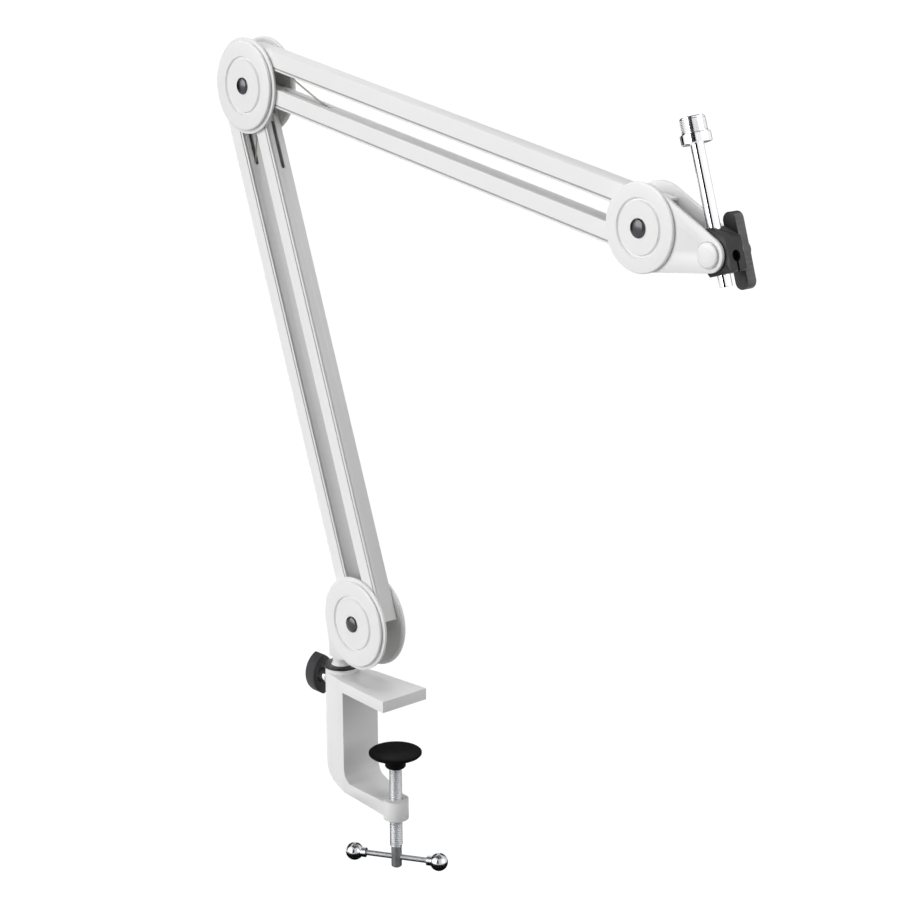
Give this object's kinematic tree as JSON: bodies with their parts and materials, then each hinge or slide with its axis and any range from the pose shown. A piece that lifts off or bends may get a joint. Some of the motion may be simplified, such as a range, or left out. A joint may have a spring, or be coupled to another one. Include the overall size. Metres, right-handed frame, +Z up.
{
  "type": "microphone boom arm",
  "caption": "Desk microphone arm: clamp on a swivel, parallel bars hinged at round discs, and a tilting holder with a rod and a thread for the microphone.",
  "frame": {"origin": "underside of the top jaw, on the axis of the clamp screw", "axes": "+Z up along the clamp screw, +X in the plane of the arm towards the microphone end, +Y away from the covered fronts of the bars"},
  "size_m": [0.4914, 0.0468, 0.5937],
  "materials": {
    "white_paint": "satin white powder coat",
    "white_plastic": "satin white",
    "white_acetal": "off-white, smooth",
    "black_plastic": "fine grained black",
    "black_metal": "satin black",
    "black_pad": "smooth black",
    "chrome": "polished",
    "steel": "turned steel"
  },
  "bodies": {
    "clamp": {"clamp_frame": "white_paint", "swivel_washer": "black_plastic"},
    "thumb_screw": {"swivel_knob": "black_plastic", "swivel_stud": "chrome"},
    "pad": {"clamp_pad": "black_pad"},
    "screw": {"clamp_screw": "steel"},
    "t_bar": {"t_bar_rod": "chrome", "t_bar_balls": "chrome"},
    "base": {"base_spigot": "steel", "base_neck": "white_paint", "base_front_plate": "white_paint", "base_rear_plate": "white_paint", "base_liners": "white_acetal", "base_front_cover": "white_plastic", "base_rear_cover": "white_plastic", "base_caps": "black_metal", "base_pins": "steel"},
    "lower_right_bar": {"lower_right_channel": "white_paint", "lower_right_strip": "white_plastic", "lower_right_ends": "white_acetal", "lower_wire": "steel"},
    "lower_left_bar": {"lower_left_channel": "white_paint", "lower_left_strip": "white_plastic", "lower_left_ends": "white_acetal", "lower_spring": "steel", "lower_spring_pin": "steel"},
    "elbow": {"elbow_front_plate": "white_paint", "elbow_rear_plate": "white_paint", "elbow_liners": "white_acetal", "elbow_front_cover": "white_plastic", "elbow_rear_cover": "white_plastic", "elbow_caps": "black_metal", "elbow_pins": "steel"},
    "upper_low_bar": {"upper_low_channel": "white_paint", "upper_low_strip": "white_plastic", "upper_low_ends": "white_acetal", "upper_spring": "steel", "upper_spring_pin": "steel"},
    "upper_top_bar": {"upper_top_channel": "white_paint", "upper_top_strip": "white_plastic", "upper_top_ends": "white_acetal", "upper_wire": "steel"},
    "head": {"head_front_plate": "white_paint", "head_rear_plate": "white_paint", "head_front_cover": "white_plastic", "head_rear_cover": "white_plastic", "head_caps": "black_metal", "head_pins": "steel"},
    "holder": {"axle_screw": "steel", "axle_ring": "steel", "axle_cap": "white_plastic", "holder_block": "black_metal", "holder_screw": "black_metal"},
    "wing_nut": {"holder_knob": "black_plastic", "knob_stud": "steel"},
    "rod": {"mic_rod": "chrome"},
    "adapter": {"thread_adapter": "steel"}
  },
  "joints": [
    {"name": "base_swivel", "type": "hinge", "parent": "clamp", "child": "base", "pos_m": [-0.06, 0, 0], "axis": [0, 0, 1], "continuous": true},
    {"name": "thumb_turn", "type": "hinge", "parent": "clamp", "child": "thumb_screw", "pos_m": [-0.085, 0, -0.0014], "axis": [-1, 0, 0], "range_deg": [0, 720]},
    {"name": "pad_travel", "type": "slide", "parent": "clamp", "child": "pad", "axis": [0, 0, 1], "range_m": [-0.02243, 0.02401]},
    {"name": "screw_turn", "type": "hinge", "parent": "pad", "child": "screw", "pos_m": [0, 0, -0.05], "axis": [0, 0, 1], "range_deg": [-5040, 5400]},
    {"name": "t_bar_slide", "type": "slide", "parent": "screw", "child": "t_bar", "axis": [0.8572, 0.515, 0], "range_m": [-0.0195, 0.0195]},
    {"name": "lower_arm", "type": "hinge", "parent": "base", "child": "lower_right_bar", "pos_m": [-0.0124, 0, 0.065], "axis": [0, 1, 0], "range_deg": [-12, 50], "deforming": ["lower_wire", "lower_spring"]},
    {"name": "lower_left_pivot", "type": "hinge", "parent": "base", "child": "lower_left_bar", "pos_m": [-0.04018, 0, 0.05508], "axis": [0, 1, 0], "range_deg": [-12, 50]},
    {"name": "elbow_level", "type": "hinge", "parent": "lower_right_bar", "child": "elbow", "pos_m": [-0.1423, 0, 0.4288], "axis": [0, 1, 0], "range_deg": [-50, 12]},
    {"name": "upper_arm", "type": "hinge", "parent": "elbow", "child": "upper_low_bar", "pos_m": [-0.1423, 0, 0.4288], "axis": [0, 1, 0], "range_deg": [-50, 12], "deforming": ["upper_wire", "upper_spring"]},
    {"name": "upper_top_pivot", "type": "hinge", "parent": "elbow", "child": "upper_top_bar", "pos_m": [-0.13776, 0, 0.45379], "axis": [0, 1, 0], "range_deg": [-50, 12]},
    {"name": "head_level", "type": "hinge", "parent": "upper_low_bar", "child": "head", "pos_m": [0.24466, 0, 0.35848], "axis": [0, 1, 0], "range_deg": [-12, 50]},
    {"name": "mic_tilt", "type": "hinge", "parent": "head", "child": "holder", "pos_m": [0.29569, 0, 0.36068], "axis": [0, 1, 0], "range_deg": [-20, 100]},
    {"name": "wing_turn", "type": "hinge", "parent": "holder", "child": "wing_nut", "pos_m": [0.29569, 0, 0.36068], "axis": [0, 1, 0], "range_deg": [0, 720]},
    {"name": "rod_slide", "type": "slide", "parent": "holder", "child": "rod", "axis": [-0.2957, 0, 0.9553], "range_m": [-0.02, 0.01]},
    {"name": "adapter_turn", "type": "hinge", "parent": "rod", "child": "adapter", "pos_m": [0.29569, 0, 0.36068], "axis": [-0.2957, 0, 0.9553], "continuous": true}
  ],
  "couplings": [
    {"joint": "pad_travel", "follows": "screw_turn", "m_per_rad": 0.00025266},
    {"joint": "lower_left_pivot", "follows": "lower_arm", "ratio": 1},
    {"joint": "elbow_level", "follows": "lower_arm", "ratio": -1},
    {"joint": "upper_top_pivot", "follows": "upper_arm", "ratio": 1},
    {"joint": "head_level", "follows": "upper_arm", "ratio": -1}
  ]
}
